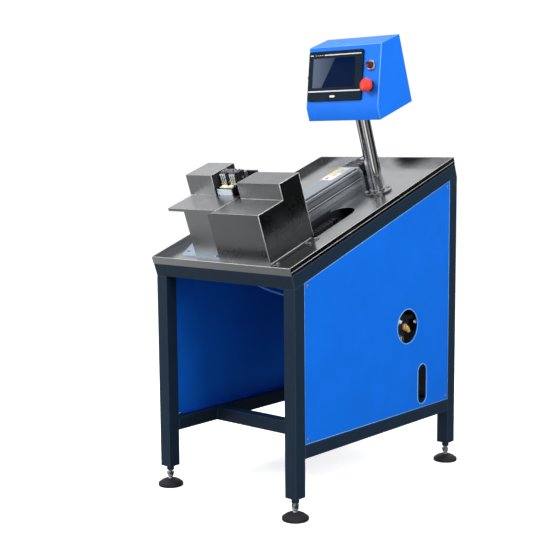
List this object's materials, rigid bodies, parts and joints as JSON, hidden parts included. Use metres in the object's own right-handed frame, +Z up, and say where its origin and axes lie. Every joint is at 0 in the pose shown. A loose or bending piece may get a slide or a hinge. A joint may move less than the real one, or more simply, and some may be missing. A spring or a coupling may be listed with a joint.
{
  "type": "cable jacket stripping machine",
  "caption": "Floor-standing wire and cable jacket stripper: sloped stainless table on a square-tube frame, guarded stripping head, linear module and a column-mounted touch control box.",
  "frame": {"origin": "on the floor, centre of the overall footprint box", "axes": "+X to the operator's right, +Y from the operator to the rear, +Z up; the table rises to the rear"},
  "size_m": [0.5759, 0.8386, 1.3468],
  "materials": {
    "dark_paint": "satin powder coat",
    "blue_paint": "satin powder coat",
    "black_rubber": "matt moulded rubber",
    "chrome": "polished",
    "zinc_screws": "zinc plated",
    "stainless": "brushed sheet",
    "zinc_plate": "zinc plated sheet",
    "anodised": "clear anodised",
    "black_oxide": "black finish",
    "guide_white": "smooth engineering plastic",
    "cream_polyurethane": "cast polyurethane",
    "grey_anodised": "hard anodised",
    "jaw_steel": "ground steel",
    "blade_steel": "ground tool steel",
    "black_plastic": "fine texture",
    "dark_sheet": "black sheet",
    "screen_glass": "glossy panel",
    "button_red": "translucent lens",
    "estop_red": "moulded",
    "estop_dark_red": "moulded",
    "clear_bowl": "clear polycarbonate",
    "brass": "machined",
    "blue_hose": "polyurethane tube",
    "electrics_grey": "grey enamel"
  },
  "bodies": {
    "base": {"legs": "dark_paint", "side_rails": "dark_paint", "cross_rails": "dark_paint", "foot_pads": "black_rubber", "panel_tabs": "dark_paint", "left_panel": "blue_paint", "right_panel": "blue_paint", "rear_panel": "blue_paint", "m6_screws": "zinc_screws", "tray": "stainless", "right_cover": "stainless", "left_cover": "stainless", "left_base_plate": "zinc_plate", "module_body": "anodised", "module_cover": "anodised", "module_ends": "anodised", "motor_mount": "black_oxide", "motor": "black_oxide", "head_post": "black_oxide", "guide_block": "guide_white", "guide_strip": "black_rubber", "v_rest": "cream_polyurethane", "clamp_body": "grey_anodised", "chain_trough": "dark_sheet", "column": "chrome", "column_flange": "chrome", "frl_bracket": "zinc_plate", "frl_body": "black_plastic", "frl_bowl": "clear_bowl", "air_inlet": "brass", "valve_manifold": "grey_anodised", "air_hose_lower": "blue_hose", "air_hose_upper": "blue_hose", "electrics": "electrics_grey"},
    "foot_fl": {"foot_stem_fl": "chrome"},
    "foot_fr": {"foot_stem_fr": "chrome"},
    "foot_rl": {"foot_stem_rl": "chrome"},
    "foot_rr": {"foot_stem_rr": "chrome"},
    "carriage": {"carriage": "anodised", "blade_arm": "black_oxide", "blade_body": "black_oxide", "chain_bracket": "zinc_plate", "chain_upper": "black_plastic"},
    "screw": {"ball_screw": "chrome"},
    "blade_l": {"blade_holder_left": "anodised", "blade_left": "blade_steel"},
    "blade_r": {"blade_holder_right": "anodised", "blade_right": "blade_steel"},
    "jaw_l": {"clamp_jaw_left": "jaw_steel"},
    "jaw_r": {"clamp_jaw_right": "jaw_steel"},
    "control_box": {"box_shell": "blue_paint", "swivel_hub": "black_oxide", "hmi_bezel": "black_plastic", "hmi_screen": "screen_glass", "power_button_body": "chrome", "estop_base": "estop_dark_red", "side_nub": "blue_paint"},
    "power_cap": {"power_button_cap": "button_red"},
    "stop_cap": {"estop_cap": "estop_red"},
    "regulator_knob": {"frl_knob": "black_plastic"}
  },
  "joints": [
    {"name": "foot_fl_turn", "type": "hinge", "parent": "base", "child": "foot_fl", "pos_m": [-0.25, -0.37865, 0.06], "axis": [0, 0, 1], "continuous": true},
    {"name": "foot_fr_turn", "type": "hinge", "parent": "base", "child": "foot_fr", "pos_m": [0.25, -0.37865, 0.06], "axis": [0, 0, 1], "continuous": true},
    {"name": "foot_rl_turn", "type": "hinge", "parent": "base", "child": "foot_rl", "pos_m": [-0.25, 0.38135, 0.06], "axis": [0, 0, 1], "continuous": true},
    {"name": "foot_rr_turn", "type": "hinge", "parent": "base", "child": "foot_rr", "pos_m": [0.25, 0.38135, 0.06], "axis": [0, 0, 1], "continuous": true},
    {"name": "carriage_slide", "type": "slide", "parent": "base", "child": "carriage", "axis": [0, 0.9426, 0.3338], "range_m": [0, 0.18]},
    {"name": "screw_turn", "type": "hinge", "parent": "base", "child": "screw", "pos_m": [0.016, -0.0463, 0.84928], "axis": [0, 0.9426, 0.3338], "continuous": true},
    {"name": "blade_left_close", "type": "slide", "parent": "carriage", "child": "blade_l", "axis": [1, 0, 0], "range_m": [0, 0.008], "stiffness_N_per_m": 300, "springref_m": -0.004},
    {"name": "blade_right_close", "type": "slide", "parent": "carriage", "child": "blade_r", "axis": [-1, 0, 0], "range_m": [0, 0.008], "stiffness_N_per_m": 300, "springref_m": -0.004},
    {"name": "jaw_left_close", "type": "slide", "parent": "base", "child": "jaw_l", "axis": [1, 0, 0], "range_m": [0, 0.0075], "stiffness_N_per_m": 300, "springref_m": -0.004},
    {"name": "jaw_right_close", "type": "slide", "parent": "base", "child": "jaw_r", "axis": [-1, 0, 0], "range_m": [0, 0.0075], "stiffness_N_per_m": 300, "springref_m": -0.004},
    {"name": "box_swivel", "type": "hinge", "parent": "base", "child": "control_box", "pos_m": [0.14, 0.05678, 1.15736], "axis": [0, -0.3338, 0.9426], "range_deg": [-75, 75]},
    {"name": "power_press", "type": "slide", "parent": "control_box", "child": "power_cap", "axis": [0, 0.9952, -0.0982], "range_m": [0, 0.003], "stiffness_N_per_m": 400, "springref_m": -0.001},
    {"name": "stop_press", "type": "slide", "parent": "control_box", "child": "stop_cap", "axis": [0, 0.9952, -0.0982], "range_m": [0, 0.004]},
    {"name": "regulator_turn", "type": "hinge", "parent": "base", "child": "regulator_knob", "pos_m": [0.231, 0.13335, 0.52], "axis": [0, 0, 1], "range_deg": [-180, 180]}
  ],
  "couplings": [
    {"joint": "screw_turn", "follows": "carriage_slide", "rad_per_m": 392.7},
    {"joint": "blade_right_close", "follows": "blade_left_close", "ratio": 1},
    {"joint": "jaw_right_close", "follows": "jaw_left_close", "ratio": 1}
  ]
}
